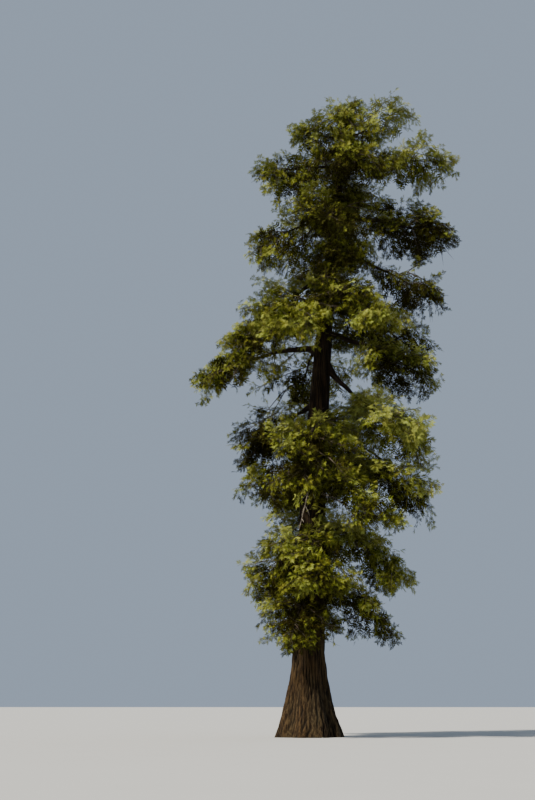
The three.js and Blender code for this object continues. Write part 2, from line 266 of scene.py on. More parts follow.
closerRule = {
    **twigRule,
    "spacing": 0.42,
    "share": 0.80,
    "rolls": (0.5, -0.7, 1.1, 0.1, -0.2, 0.8, -1.1),
    "rollSpread": 0.7,
}
sprayRule = {
    "at": (0.86, 0.94),  # of the twig: where its side spray and its end spray start
    "turn": 0.6,  # of the side spray, along the limb
    "hang": (0.4, 0.5),  # of the side spray: the least, and the spread above it
    "endHang": 0.3,
    "tilts": (2.0, 1.8),  # of the side spray and the end spray
    "reach": (1.1, 0.15),  # of the way out of the mass: the least, and the spread above it
    "shortest": 0.55,
    "longest": 2.3,
}

# root and tip are heights at the trunk and at the furthest spray, angle is the compass angle (0 is
# +X, 270 the front), reach goes from the trunk's axis, and bough is the share that is bare.
tiers = {
    "crest": ({"root": 29.5, "tip": 30.4, "width": 3.7, "depth": 2.9}, {
        "right": {"angle": 350, "reach": 3.25, "tip": 31.2},
        "back": {"angle": 80, "reach": 3.0, "root": 29.2},
        "left": {"angle": 172, "reach": 2.7, "root": 29.7},
        "front": {"angle": 262, "reach": 2.9, "root": 29.4, "tip": 30.0},
    }),
    "shoulder": ({"root": 28.0, "tip": 27.1, "width": 4.9, "depth": 3.6}, {
        "right": {"angle": 352, "reach": 5.7, "bough": 0.26, "tip": 27.9, "width": 3.9, "depth": 2.6},
        "back": {"angle": 92, "reach": 4.8, "width": 6.8},
        "left": {"angle": 203, "reach": 4.4, "tip": 26.8},
        "front": {"angle": 284, "reach": 4.1, "root": 27.6, "tip": 26.9, "width": 5.6},
    }),
    "upper": ({"root": 25.2, "tip": 23.4, "width": 5.0, "depth": 3.5}, {
        "right": {"angle": 347, "reach": 5.9, "bough": 0.3, "tip": 23.1, "width": 3.7, "depth": 2.6},
        "back_right": {"angle": 26, "reach": 5.7, "bough": 0.28, "root": 26.4, "tip": 24.9, "depth": 2.6},
        "back": {"angle": 98, "reach": 5.2, "width": 6.2, "depth": 3.8},
        "left": {"angle": 182, "reach": 4.2, "bough": 0.26},
        "front": {"angle": 262, "reach": 4.2, "width": 5.4},
        "front_low": {"angle": 284, "reach": 3.7, "root": 23.5, "tip": 21.6, "width": 4.2, "depth": 2.4},
    }),
    "middle": ({"root": 22.0, "tip": 19.7, "width": 5.2, "depth": 3.5}, {
        "right": {"angle": 354, "reach": 5.3, "bough": 0.3, "root": 23.2, "tip": 20.3, "depth": 2.6},
        "back": {"angle": 62, "reach": 5.4, "width": 5.8},
        "left": {"angle": 150, "reach": 5.0, "bough": 0.26},
        "front_left": {"angle": 236, "reach": 4.8, "root": 20.9, "tip": 17.9, "width": 4.8},
        "front_right": {"angle": 298, "reach": 4.7, "root": 21.3, "tip": 18.4, "width": 5.0},
    }),
    "waist": ({"root": 19.0, "tip": 16.7, "width": 4.2, "depth": 2.7}, {
        "right_high": {"angle": 20, "reach": 5.5, "bough": 0.3, "root": 20.6, "tip": 18.1},
        "right": {"angle": 344, "reach": 5.25, "bough": 0.34, "root": 18.9, "tip": 16.1},
        "back": {"angle": 106, "reach": 5.6, "bough": 0.24, "width": 6.2, "depth": 4.2},
        "left": {"angle": 180, "reach": 6.25, "bough": 0.28, "root": 18.3, "tip": 16.7},
        "left_high": {"angle": 207, "reach": 5.2, "bough": 0.26, "root": 19.5, "tip": 17.6},
    }),
    "lower": ({"root": 15.4, "tip": 12.9, "width": 5.4, "depth": 3.7}, {
        "right": {"angle": 334, "reach": 5.05, "bough": 0.34, "root": 17.9, "spring": 0.0, "sag": 0.75},
        "back": {"angle": 64, "reach": 5.7},
        "left": {"angle": 158, "reach": 3.9, "bough": 0.24},
        "front": {"angle": 262, "reach": 4.7, "bough": 0.2, "root": 14.5, "tip": 10.9},
    }),
    "apron": ({"root": 12.8, "tip": 10.3, "width": 5.4, "depth": 3.5}, {
        "right": {"angle": 350, "reach": 5.3, "bough": 0.26},
        "back": {"angle": 102, "reach": 5.4, "bough": 0.22, "tip": 11.5, "width": 6.0},
        "left": {"angle": 207, "reach": 3.05, "tip": 10.8, "width": 4.4, "depth": 2.9},
        "front": {"angle": 300, "reach": 5.0, "bough": 0.2, "root": 12.6, "tip": 9.3},
    }),
    "skirt": ({"root": 9.7, "tip": 6.9, "width": 5.2, "depth": 3.4}, {
        "right": {"angle": 337, "reach": 4.5, "tip": 6.7},
        "back": {"angle": 90, "reach": 5.2, "width": 7.0, "depth": 4.0},
        "left": {"angle": 205, "reach": 2.75, "root": 8.7, "tip": 6.1, "depth": 3.0},
        "front": {"angle": 272, "reach": 4.4, "root": 9.2, "tip": 6.3, "width": 4.5},
    }),
    "hem": ({"root": 7.0, "tip": 4.5, "width": 4.0, "depth": 2.6}, {
        "right": {"angle": 340, "reach": 3.8},
        "back": {"angle": 92, "reach": 4.1, "width": 5.0},
        "front": {"angle": 256, "reach": 3.5, "root": 6.5, "tip": 4.0, "width": 4.1},
    }),
}
leaderLimb = {
    "name": "leader", "tier": "crest", "angle": 0.0, "reach": 0.3, "root": 30.4, "tip": 32.0,
    "width": 1.7, "depth": 1.7, "spring": 0.0, "sag": 1.0, "upright": (0.0, 1.0, 0.0),
    "thick": 0.065, "hang": 0.0, "tipFrom": 0.3,
    "bare": 0.0003 / 1.6,  # 0.3 mm of its 1.6 m
}
deadLimbs = [
    {"name": "left", "angle": 245, "reach": 1.8, "root": 12.1, "tip": 9.1, "sag": 1.0},
    {"name": "right", "angle": 312, "reach": 2.7, "root": 11.1, "tip": 9.7, "sag": 1.5},
]
for limb in deadLimbs:
    limb.update(angle=math.radians(limb["angle"]), spring=limbShape["droopSpring"])


def unit(vectors):
    vectors = np.asarray(vectors, float)
    return vectors / np.maximum(np.linalg.norm(vectors, axis=-1, keepdims=True), 1e-9)


def outwards(angle):
    angle = np.asarray(angle, float)
    return np.stack([np.cos(angle), np.sin(angle), np.zeros_like(angle)], -1)


def trunkCentre(z):
    z = np.asarray(z, float)
    rise = np.clip(z / trunkShape["treeHeight"], 0.0, 1.0)
    return np.stack([trunkShape["leanAtTop"] * rise ** trunkShape["leanPower"], np.zeros_like(z), z], -1)


def boleRadiusAt(z):
    t = trunkShape
    bole = t["boleRadius"] * np.maximum(1 - z / t["treeHeight"], 0.0) ** t["boleTaper"]
    flare = t["flareReach"] * np.maximum(1 - z / t["flareHeight"], 0.0) ** 2
    return np.maximum(bole + flare, t["leaderRadius"])


def trunkRadius(z, angle):
    t = trunkShape
    depth = t["fluteFloor"] + (t["fluteDepth"] - t["fluteFloor"]) * np.exp(-((z / t["fluteHeight"]) ** 2))
    wave = sum(share * np.cos(count * angle + phase) for count, share, phase in t["flutes"])
    return boleRadiusAt(z) * (1 + depth * wave)


def limbPoint(limb, s):
    s = np.asarray(s, float)[..., None]
    spring = limb["spring"] * limb["reach"] * s * (1 - s)
    fall = (limb["root"] - limb["tip"]) * np.maximum(s, 0.0) ** limb["sag"]
    return trunkCentre(limb["root"]) + outwards(limb["angle"]) * limb["reach"] * s + up * (spring - fall)


def limbRadius(limb, s):
    thick = limb.get("thick", limb["reach"] * limbShape["slenderness"])
    return thick * (1 - limbShape["taper"] * s)


def limbFrame(limb, s):
    step = 0.01
    along = unit(limbPoint(limb, s + step) - limbPoint(limb, s - step))
    across = unit(np.cross(along, limb.get("upright", up)))
    return along, across, np.cross(across, along)


def makeLimbs():
    limbs = [dict(leaderLimb)]
    for tier, (sizes, sides) in tiers.items():
        for side, own in sides.items():
            limb = {**sizes, **own}
            droops = limb["root"] > limb["tip"]
            limb.setdefault("spring", limbShape["droopSpring"] if droops else limbShape["riseSpring"])
            limb.setdefault("sag", limbShape["droopSag"] if droops else 1.0)
            limb.update(name=f"{tier}_{side}", tier=tier, angle=math.radians(own["angle"]),
                        bare=own.get("bough", limbShape["bare"]),
                        hang=limbShape["spaceHang"] * limb["depth"])
            limbs.append(limb)
    return limbs


# From where a limb enters its mass to its tip.
def stemLength(limb):
    return np.linalg.norm(limbPoint(limb, 1.0) - limbPoint(limb, limb["bare"]))


def massSpace(limb):
    along = unit(limbPoint(limb, 1.0) - limbPoint(limb, limb["bare"]))
    across = unit(np.cross(along, limb.get("upright", up)))
    axes = np.array([along, across, np.cross(across, along)])
    centre = limbPoint(limb, (limb["bare"] + 1) / 2) - up * limb["hang"]
    half = np.array([stemLength(limb) * limbShape["chordShare"], limb["width"] / 2, limb["depth"] / 2])
    return {"centre": centre, "axes": axes, "half": half}


limbs = makeLimbs()
spaces = [massSpace(limb) for limb in limbs]
spaceCentres = np.array([space["centre"] for space in spaces])
spaceScales = np.array([space["axes"] / space["half"][:, None] for space in spaces])
spaceDepths = np.array([space["half"][2] for space in spaces])
print("limbs:", len(limbs))


# Scaled distances of each point from each mass's middle: under 1 inside that mass's space.
def depthsIn(points):
    batch = 20000  # points at a time, to spare memory
    parts = []
    for start in range(0, len(points), batch):
        offsets = points[start:start + batch, None, :] - spaceCentres
        parts.append(np.linalg.norm(np.einsum("skj,nsj->nsk", spaceScales, offsets), axis=-1))
    return np.concatenate(parts) if parts else np.zeros((0, len(spaces)))


# Each point's scaled distance in its own mass, and the least of those in the others.
def depthsOf(points, own):
    depths = depthsIn(points)
    rows = np.arange(len(points))
    mine = depths[rows, own]
    depths[rows, own] = np.inf
    return mine, depths.min(1)


# How far it is from each point, the way it looks, to the edge of its own mass's space.
def wayOut(points, ways, own):
    start = np.einsum("nkj,nj->nk", spaceScales[own], points - spaceCentres[own])
    step = np.einsum("nkj,nj->nk", spaceScales[own], ways)
    a, b, c = (step ** 2).sum(1), (start * step).sum(1), (start ** 2).sum(1) - 1
    return (np.sqrt(np.maximum(b * b - a * c, 0.0)) - b) / a


# The same for a single point.
def roomFrom(point, way, own):
    return wayOut(point[None], way[None], [own])[0]


# The way out of each point's own mass, square to the surface of its space.
def facingOut(points, own):
    local = np.einsum("nkj,nj->nk", spaceScales[own], points - spaceCentres[own])
    return unit(np.einsum("nkj,nk->nj", spaceScales[own], local))


edgeSetup = {
    "boxReach": 0.24,  # metres that tips may pass the solids' box
    "clearance": 0.02,  # metres left round the bole
    "gap": 0.02,  # between two masses, in their own scale
    "joinReach": 0.4,  # how far from where masses meet the lobes fade in, in that scale
}
lobeSetup = {"waves": 14, "across": 1.9, "upright": 1.1, "seed": 21}


# A smooth repeatable wave in space, mostly -1 to 1, with the lengths across and upright.
def spaceWave(points, setup):
    random = np.random.default_rng(setup["seed"])
    ways = unit(random.normal(size=(setup["waves"], 3)))
    ways *= 2 * math.pi / np.array([setup["across"], setup["across"], setup["upright"]])
    phases = 2 * math.pi * random.random(setup["waves"])
    return np.cos(points @ ways.T + phases).sum(1) / math.sqrt(setup["waves"] / 2)


def inBox(points):
    low = np.array(cadLow) - edgeSetup["boxReach"]
    high = np.array(cadHigh) + edgeSetup["boxReach"]
    return ((points > low) & (points < high)).all(1)


# True for points in their own mass's space, nearer to its middle than to any other's, and clear
# of the trunk. slack lets neighbouring masses mingle a little at their edges, and lobes is how far
# a smooth wave moves the outline in and out, except where masses meet.
def keptIn(points, own, slack, reach=limbShape["spaceReach"], lobes=0.0):
    mine, others = depthsOf(points, own)
    free = np.clip((others - mine) / edgeSetup["joinReach"], 0.0, 1.0)
    reach = reach + lobes * spaceWave(points, lobeSetup) * free
    fits = (mine < reach) & (others > mine + edgeSetup["gap"] - slack)
    top = trunkShape["trunkHeight"]
    heights = np.clip(points[:, 2], 0.0, top)
    aside = np.linalg.norm(points[:, :2] - trunkCentre(heights)[:, :2], axis=1)
    return fits & ((aside > boleRadiusAt(heights) + edgeSetup["clearance"]) | (points[:, 2] > top))


# The solids' repeatable stream of numbers from 0 to 1.
def seeded(seed):
    mask = 0xFFFFFFFF
    state = [seed & mask]

    def draw():
        state[0] = (state[0] + 0x6D2B79F5) & mask
        mixed = ((state[0] ^ (state[0] >> 15)) * (state[0] | 1)) & mask
        mixed = ((mixed + (mixed ^ (mixed >> 7)) * (mixed | 61)) & mask) ^ mixed
        return (mixed ^ (mixed >> 14)) / 4294967296

    return draw


# A number drawn from low to low + spread.
def drawn(draw, low, spread):
    return low + spread * draw()


# A number drawn from half of width below 0 to half of it above.
def swing(draw, width):
    return width * (draw() - 0.5)


# Twigs leave a stem left and right in turn, swept forward and rolled out of its level.
def twigPlan(limb, own, random, rule):
    count = max(rule["fewest"], int(math.floor(stemLength(limb) / rule["spacing"] + 0.5)))
    twigs = []
    for i in range(count):
        u = (i + rule["firstAt"]) / count
        s = limb["bare"] + (limbShape["stemEnd"] - limb["bare"]) * u
        along, across, over = limbFrame(limb, s)
        side = 1 if i % 2 else -1
        sweep = math.radians(rule["sweep"] - rule["sweepGain"] * u)
        roll = rule["rolls"][i % len(rule["rolls"])] + swing(random, rule["rollSpread"])
        way = along * math.cos(sweep) + across * side * math.sin(sweep) * math.cos(roll)
        way = unit(way + over * math.sin(sweep) * math.sin(roll))
        root = limbPoint(limb, s)
        size = roomFrom(root, way, own) * rule["share"] * drawn(random, *rule["lengths"])
        twigs.append({"root": root, "way": way, "size": size, "along": along, "lift": over})
    return twigs


# The two sprays of a twig: one hangs from its side, and one carries on past its end.
def spraysOn(twig, limb, own, random):
    rule = sprayRule
    level = unit(np.cross(twig["way"], up))
    turn = 1 if random() < 0.5 else -1
    hanging = unit(twig["way"] + twig["along"] * rule["turn"] * turn - up * drawn(random, *rule["hang"]))
    ending = twig["way"] + level * (random() - 0.5)
    ending = unit(ending - up * rule["endHang"] * random())
    sideTilt, endTilt = rule["tilts"]
    overs = [level + outwards(limb["angle"]) * sideTilt * (random() - 0.5)]
    overs.append(up + level * endTilt * (random() - 0.5))
    sprays = []
    for at, way, over in zip(rule["at"], (hanging, ending), overs):
        root = twig["root"] + twig["way"] * twig["size"] * at
        size = roomFrom(root, way, own) * drawn(random, *rule["reach"])
        size = min(max(size, rule["shortest"]), rule["longest"])
        sprays.append({"root": root, "way": way, "over": over, "size": size})
    return sprays


# Strands are many twigs of one order at once, as arrays. Each starts at root, runs along way and
# sags under its own weight, and over points out of the plane that its side twigs lie in.
def strandsOf(root, way, over, size, sag, own, tone):
    way = unit(way)
    over = np.asarray(over, float)
    over = unit(over - way * (over * way).sum(-1, keepdims=True))
    arrays = {"root": root, "way": way, "over": over, "size": size, "sag": sag, "own": own, "tone": tone}
    return {key: np.asarray(value) for key, value in arrays.items()}


def chosen(strands, keep):
    return {key: value[keep] for key, value in strands.items()}


def together(*groups):
    return {key: np.concatenate([group[key] for group in groups]) for key in groups[0]}


def pointOn(strands, t):
    run = (strands["size"] * t)[:, None]
    return strands["root"] + strands["way"] * run - up * run * (strands["sag"] * t)[:, None]


def alongOn(strands, t):
    return unit(strands["way"] - up * (2 * strands["sag"] * t)[:, None])


def pointsAt(strands, t):
    return pointOn(strands, np.full(len(strands["size"]), t))


deadSpace = {
    "wide": {"left": 0.3, "right": 0.12},  # metres left bare on each side of the dead limbs
    "front": 1.5,  # metres left bare in front of them
    "slope": 0.27,  # metres that this falls to the metre, as they are looked up at
    "from": 0.1,  # of the limb
    "places": 10,
}


# True for points that leave the dead limbs bare and to be seen from the front, a little from below.
def offDeadLimbs(points):
    free = np.ones(len(points), bool)
    for limb in deadLimbs:
        wide = deadSpace["wide"][limb["name"]]
        for place in limbPoint(limb, np.linspace(deadSpace["from"], 1.0, deadSpace["places"])):
            ahead = place[1] - points[:, 1]
            lower = place[2] - deadSpace["slope"] * ahead - points[:, 2]
            near = np.hypot(place[0] - points[:, 0], lower) < wide
            free &= ~(near & (ahead > -wide) & (ahead < deadSpace["front"]))
    return free


growth = {
    "seed": 29,
    "twigSeed": 101,  # of the leader's main twigs, and 1 more for its closer twigs
    "seedStep": 37,  # from one limb to the next
    "shortestTwig": 0.5,  # the closer twigs that are shorter are left out
    "plumeSag": 0.06,
    "plumeAt": 0.35,  # of a plume: the place that has to lie in its mass
    "strandAt": 0.9,  # the same for finer strands
    "plumeSlack": 0.1,
    "bareAt": 0.7,  # of a strand: the place that has to be clear of the dead limbs
    "clumpAt": 0.5,  # of a frond: the place that has to lie in a clump
    "middleAt": 0.6,  # of a strand: the place that its shade and its kind of shoots go by
    "innerDepth": 0.62,  # fronds nearer than this to their mass's middle have inner shoots
    "endSwing": 0.35,  # radians, of the strand at its parent's end
    "sagSpread": 0.8,
}


# Side strands leave their parents left and right in turn, and each parent has one more at its end.
def grown(parents, rule, random):
    room = parents["size"] * (rule["to"] - rule["from"])
    counts = np.maximum(np.round(room / rule["spacing"]), rule["least"]).astype(int) + 1
    which = np.repeat(np.arange(len(counts)), counts)
    step = np.arange(len(which)) - np.repeat(np.cumsum(counts) - counts, counts)
    total = len(which)
    draw = random.random((7, total)) - 0.5
    last = step == counts[which] - 1
    t = rule["from"] + (rule["to"] - rule["from"]) * (step + 0.5 + 0.5 * draw[0]) / (counts[which] - 1)
    t = np.where(last, rule["endAt"], t)
    held = chosen(parents, which)
    along = alongOn(held, t)
    side = unit(np.cross(held["over"], along))
    over = np.cross(along, side)
    turn = np.where(step % 2, 1.0, -1.0)
    first, final = rule["sweep"]
    sweep = np.radians(first + (final - first) * t + rule["sweepSpread"] * draw[1])
    sweep = np.where(last, growth["endSwing"] * draw[1], sweep)
    roll = rule["roll"] + rule["rollSpread"] * draw[2]
    way = along * np.cos(sweep)[:, None] + side * (turn * np.sin(sweep) * np.cos(roll))[:, None]
    way = way + over * (np.sin(sweep) * np.sin(roll))[:, None]
    hump = rule["foot"] + (1 - rule["foot"]) * np.sin(math.pi * np.clip(t, 0, 1) ** rule["lean"])
    size = held["size"] * rule["share"] * hump
    size = np.where(last, held["size"] * rule["share"] * rule["endShare"], size)
    size = np.clip(size, rule["shortest"], rule["longest"]) * (1 + rule["sizeSpread"] * draw[3])
    way = unit(way) - up * (rule["hang"] * (1 + draw[5]))[:, None]
    root = pointOn(held, t)
    tilted = over * (1 - rule["face"]) + facingOut(root, held["own"]) * rule["face"]
    tilted = tilted + side * (rule["tilt"] * draw[4])[:, None]
    sag = rule["sag"] * (1 + growth["sagSpread"] * draw[5])
    tone = held["tone"] + rule["toneSpread"] * draw[6]
    made = strandsOf(root, way, tilted, size, sag, held["own"], tone)
    places = pointsAt(made, growth["strandAt"])
    keep = keptIn(places, made["own"], rule["slack"], rule["reach"], rule["lobes"])
    keep &= inBox(pointsAt(made, 1.0)) & offDeadLimbs(pointsAt(made, growth["bareAt"]))
    return chosen(made, keep)


# How side strands stand on their parents. from, to and endAt are places along the parent, sweep is
# in degrees at its foot and at its end, face is how far they turn to lie flat on their mass's
# surface, share to sizeSpread set their size, and slack to lobes say how far their mass reaches.
frondRule = {
    "spacing": 0.103, "least": 3, "from": 0.18, "to": 0.98, "endAt": 0.95,
    "sweep": (78.0, 42.0), "sweepSpread": 34.0, "roll": 0.10, "rollSpread": 2.6, "hang": 0.06, "face": 0.45,
    "share": 0.42, "foot": 0.6, "lean": 0.9, "endShare": 0.5, "shortest": 0.40, "longest": 0.66,
    "sizeSpread": 0.4, "tilt": 1.1, "sag": 0.10, "toneSpread": 0.55, "slack": 0.06, "reach": 1.12,
    "lobes": 0.22,
}
shootRule = {
    "spacing": 0.085, "least": 4, "from": 0.10, "to": 0.98, "endAt": 0.97,
    "sweep": (68.0, 40.0), "sweepSpread": 20.0, "roll": 0.05, "rollSpread": 1.8, "hang": 0.02, "face": 0.25,
    "share": 0.5, "foot": 0.6, "lean": 0.8, "endShare": 0.55, "shortest": 0.26, "longest": 0.37,
    "sizeSpread": 0.3, "tilt": 1.3, "sag": 0.10, "toneSpread": 0.50, "slack": 0.10, "reach": 1.14,
    "lobes": 0.20,
}
innerRule = {
    **shootRule, "spacing": 0.155, "least": 3, "shortest": 0.40, "longest": 0.56, "face": 0.6,
    "rollSpread": 2.4,
}


# Painted light and painted shade of whole masses: how much lighter they are painted than the rest where they
# stand in the light, or darker, under 0, where they stand in shade.
paintedMassShading = {
    "crest_right": 0.80, "crest_front": 0.30, "crest_left": 0.20, "shoulder_right": 0.35,
    "shoulder_front": -0.45, "upper_front": -0.65, "upper_front_low": -0.60, "upper_right": -0.85,
    "upper_back_right": -0.90, "middle_right": -0.65, "middle_front_left": 0.55,
    "middle_front_right": 0.50, "waist_right_high": -0.50, "waist_right": -0.10, "waist_left": 0.10,
    "lower_right": 0.80, "lower_front": -0.25, "lower_left": -1.10, "apron_left": -0.60,
    "apron_front": 0.15, "skirt_front": 0.20, "skirt_right": 0.65, "hem_front": -0.35,
    "hem_right": -0.25, "hem_back": -0.30,
}


# Strands of one mass from single records.
def listed(records, own, sag):
    if not records:
        return []
    count = len(records)
    columns = [np.array([record[key] for record in records]) for key in ("root", "way", "over", "size")]
    # Each strand starts from its mass's painted light and painted shade.
    tone = paintedMassShading.get(limbs[own]["name"], 0.0)
    return [strandsOf(*columns, np.full(count, sag), np.full(count, own), np.full(count, tone))]


# Masses with twigs that turn back under their bough, and how many.
backTwigs = {
    "crest_right": 4, "shoulder_right": 3, "upper_back_right": 2, "middle_front_left": 13,
    "middle_front_right": 9, "waist_right": 9, "waist_back": 2, "lower_right": 12, "lower_back": 3,
    "apron_right": 3, "apron_front": 9, "skirt_right": 4, "skirt_front": 2, "hem_right": 3,
    "hem_back": 2,
}
topTwigs = {"lower_right": 8, "lower_back": 2}  # the same above their bough
# To which side most of them turn: over 0 is to the right, looking out from the trunk.
turnedSides = {"middle_front_left": -0.9, "middle_front_right": 0.9, "apron_front": 0.5}
turnedRule = {
    "startSpan": 0.38,  # of the limb, from where it enters its mass
    "aside": 1.6,
    "back": 1.1,
    "over": (0.5, 0.6),  # the least, and the spread above it
    "share": 0.95,  # of the way out of the mass
}
tuftRule = {
    "spacing": 0.13,
    "to": 0.92,  # of the limb
    "turn": 5.6,  # radians round the limb
    "forward": 0.7,
    "size": 0.62,
    "sizes": (0.7, 0.6),  # the least share of that size, and the spread above it
    "sag": 0.15,
}


def turnedTwigs(limb, own, draw, counts, turn):
    rule = turnedRule
    twigs = []
    for _ in range(counts.get(limb["name"], 0)):
        s = limb["bare"] + rule["startSpan"] * draw()
        along, across, over = limbFrame(limb, s)
        root = limbPoint(limb, s)
        way = across * (swing(draw, rule["aside"]) + turnedSides.get(limb["name"], 0.0))
        way = unit(way - along * rule["back"] * draw() + over * turn * drawn(draw, *rule["over"]))
        size = rule["share"] * roomFrom(root, way, own)
        twigs.append({"root": root, "way": way, "over": over + across * (draw() - 0.5), "size": size})
    return twigs


# The spray at the tip of a limb.
def limbTip(limb):
    root = limbPoint(limb, limb.get("tipFrom", limbShape["tipFrom"]))
    way = limbPoint(limb, 1.0) - root
    over = limbFrame(limb, limbShape["stemEnd"])[2]
    return {"root": root, "way": way, "over": over, "size": np.linalg.norm(way)}


# Short sprays all along a limb and all round it.
def tuftsOn(limb, draw):
    rule = tuftRule
    count = int(stemLength(limb) / rule["spacing"])
    tufts = []
    for i in range(count):
        s = limb["bare"] + (rule["to"] - limb["bare"]) * (i + 0.5) / count
        along, across, over = limbFrame(limb, s)
        turn = swing(draw, rule["turn"])
        way = along * rule["forward"] + over * math.cos(turn) + across * math.sin(turn)
        size = rule["size"] * drawn(draw, *rule["sizes"])
        tufts.append({"root": limbPoint(limb, s), "way": way, "over": across + along * draw(), "size": size})
    return tufts


# Every mass's main twigs: the ones that its solid has, with the sprays that the solid has as
# blades, then the same rule again at a closer spacing, twigs that turn back, a tip and tufts.
def plantTwigs():
    scaffold, plumes, tufts = [], [], []
    for own, limb in enumerate(limbs):
        seed = growth["twigSeed"] + growth["seedStep"] * own
        random = seeded(seed)
        twigs = twigPlan(limb, own, random, twigRule)
        sprays = [spray for twig in twigs for spray in spraysOn(twig, limb, own, random)]
        scaffold += listed([{**twig, "over": up} for twig in twigs], own, 0.0)
        plumes += listed(sprays, own, growth["plumeSag"])
        random = seeded(seed + 1)
        closer = [t for t in twigPlan(limb, own, random, closerRule) if t["size"] > growth["shortestTwig"]]
        closer = [{**twig, "over": up + twig["lift"] * random()} for twig in closer]
        plumes += listed(closer, own, growth["plumeSag"])
        plumes += listed(turnedTwigs(limb, own, random, backTwigs, -1), own, 0.0)
        plumes += listed(turnedTwigs(limb, own, random, topTwigs, 1), own, 0.0)
        plumes += listed([limbTip(limb)], own, 0.0)
        tufts += listed(tuftsOn(limb, random), own, tuftRule["sag"])
    return together(*scaffold), together(*plumes), together(*tufts)


boleSetup = {
    "spans": ((4.2, 15.2), (18.9, 30.6)),  # heights
    "perMetre": 22.0,
    "size": 0.85,
    "sizeSpread": 0.7,
    "lean": 0.8,
    "sag": 0.2,
    "rootDepth": 0.8,  # of the bole's radius
    "heldAt": 0.6,  # metres out: the mass there holds the spray
    "tone": -0.1,
}


# Short sprays straight from the bole, where the masses hide it, each held by the nearest mass.
def boleSprays(setup, random):
    heights = []
    for low, high in setup["spans"]:
        heights.append(low + (high - low) * random.random(int((high - low) * setup["perMetre"])))
    heights = np.concatenate(heights)
    count = len(heights)
    angles = random.random(count) * 2 * math.pi
    out = outwards(angles)
    rise = random.random(count) - 0.5
    sizes = setup["size"] * (1 + setup["sizeSpread"] * (random.random(count) - 0.5))
    root = trunkCentre(heights) + out * (trunkRadius(heights, angles) * setup["rootDepth"])[:, None]
    own = depthsIn(root + out * setup["heldAt"]).argmin(1)
    tone = np.full(count, setup["tone"])
    over = up + out * setup["lean"]
    return strandsOf(root, out + up * rise[:, None], over, sizes, np.full(count, setup["sag"]), own, tone)


# The share of each mass's space that is left open to the sky, in holes between flat clumps.
skyShares = {
    "shoulder_right": 0.04, "shoulder_back": 0.12, "upper_right": 0.14, "upper_back_right": 0.14,
    "upper_left": 0.18, "upper_back": 0.16, "middle_right": 0.26, "middle_back": 0.18,
    "waist_right_high": 0.20, "waist_right": 0.14, "waist_back": 0.26, "waist_left_high": 0.16,
}
clumpSetup = {
    "skyShare": 0.01,  # of the masses that aren't named above
    "waves": 14,
    "across": 2.6,
    "upright": 1.5,
    "seed": 7,
}


# True where the wave is over the level that leaves each mass its share of sky.
def inClump(points, own, setup):
    waves = spaceWave(points, setup)
    level = NormalDist().inv_cdf
    levels = np.array([level(skyShares.get(limb["name"], setup["skyShare"])) for limb in limbs])
    return waves > levels[own]


random = np.random.default_rng(growth["seed"])
scaffold, plumes, tufts = plantTwigs()
plumes = chosen(plumes, keptIn(pointsAt(plumes, growth["plumeAt"]), plumes["own"], growth["plumeSlack"]))
fronds = together(grown(plumes, frondRule, random), tufts)
fronds = chosen(fronds, inClump(pointsAt(fronds, growth["clumpAt"]), fronds["own"], clumpSetup))
fronds = together(fronds, boleSprays(boleSetup, random))
inside = depthsOf(pointsAt(fronds, growth["middleAt"]), fronds["own"])[0] < growth["innerDepth"]
shoots = grown(chosen(fronds, ~inside), shootRule, random)
innerShoots = grown(chosen(fronds, inside), innerRule, random)
print("twigs:", len(scaffold["size"]), "plumes:", len(plumes["size"]), "fronds:", len(fronds["size"]),
      "shoots:", len(shoots["size"]), "inner shoots:", len(innerShoots["size"]))


# Closed tubes that taper to a point, one for each strand.
def tubesOf(strands, radius, rings, sides, taper=0.75):
    count = len(strands["size"])
    points = []
    for j in range(rings):
        t = np.full(count, j / rings)
        along = alongOn(strands, t)
        side = unit(np.cross(strands["over"], along))
        lift = np.cross(along, side)
        wide = (radius * (1 - taper * j / rings))[:, None]
        centre = pointOn(strands, t)
        for k in range(sides):
            turn = 2 * math.pi * k / sides
            points.append(centre + (side * math.cos(turn) + lift * math.sin(turn)) * wide)
    points.append(pointsAt(strands, 1.0))
    faces = [[0, k + 1, k] for k in range(1, sides - 1)]
    for j in range(rings):
        for k in range(sides):
            a, b = j * sides + k, j * sides + (k + 1) % sides
            if j < rings - 1:
                faces += [[a, b, b + sides], [a, b + sides, a + sides]]
            else:
                faces.append([a, b, rings * sides])
    points = np.stack(points, 1)
    faces = np.array(faces)[None] + (np.arange(count) * points.shape[1])[:, None, None]
    return points.reshape(-1, 3), faces.reshape(-1, 3)


needleShape = {
    "pairs": 5,
    "from": 0.02,  # of the shoot
    "span": 0.84,
    "placeSpread": 0.06,
    "length": 0.53,  # of its shoot
    "swell": (0.72, 0.28),  # of that length at the shoot's ends, and so much more in its middle
    "lengths": (0.85, 0.3),  # the least, and the spread above it
    "width": 0.205,  # of its own length
    "widest": 0.32,  # of the way to its tip
    "angle": 50.0,
    "angleSpread": 16.0,
    "fold": 0.16,  # how far the middle of a needle lies below its edges, of its width
    "droop": 0.10,
    "droopSpread": 0.3,
    "tipEnd": 0.98,
    "tipSpread": 0.1,
    "variants": 3,
    "older": (1, 1, 0, 0, -1, -1),  # shades darker than its shoot, from the foot to the tip needle
}
innerShape = {**needleShape, "pairs": 3, "length": 0.58, "width": 0.27, "older": (1, 0, 0, -1)}


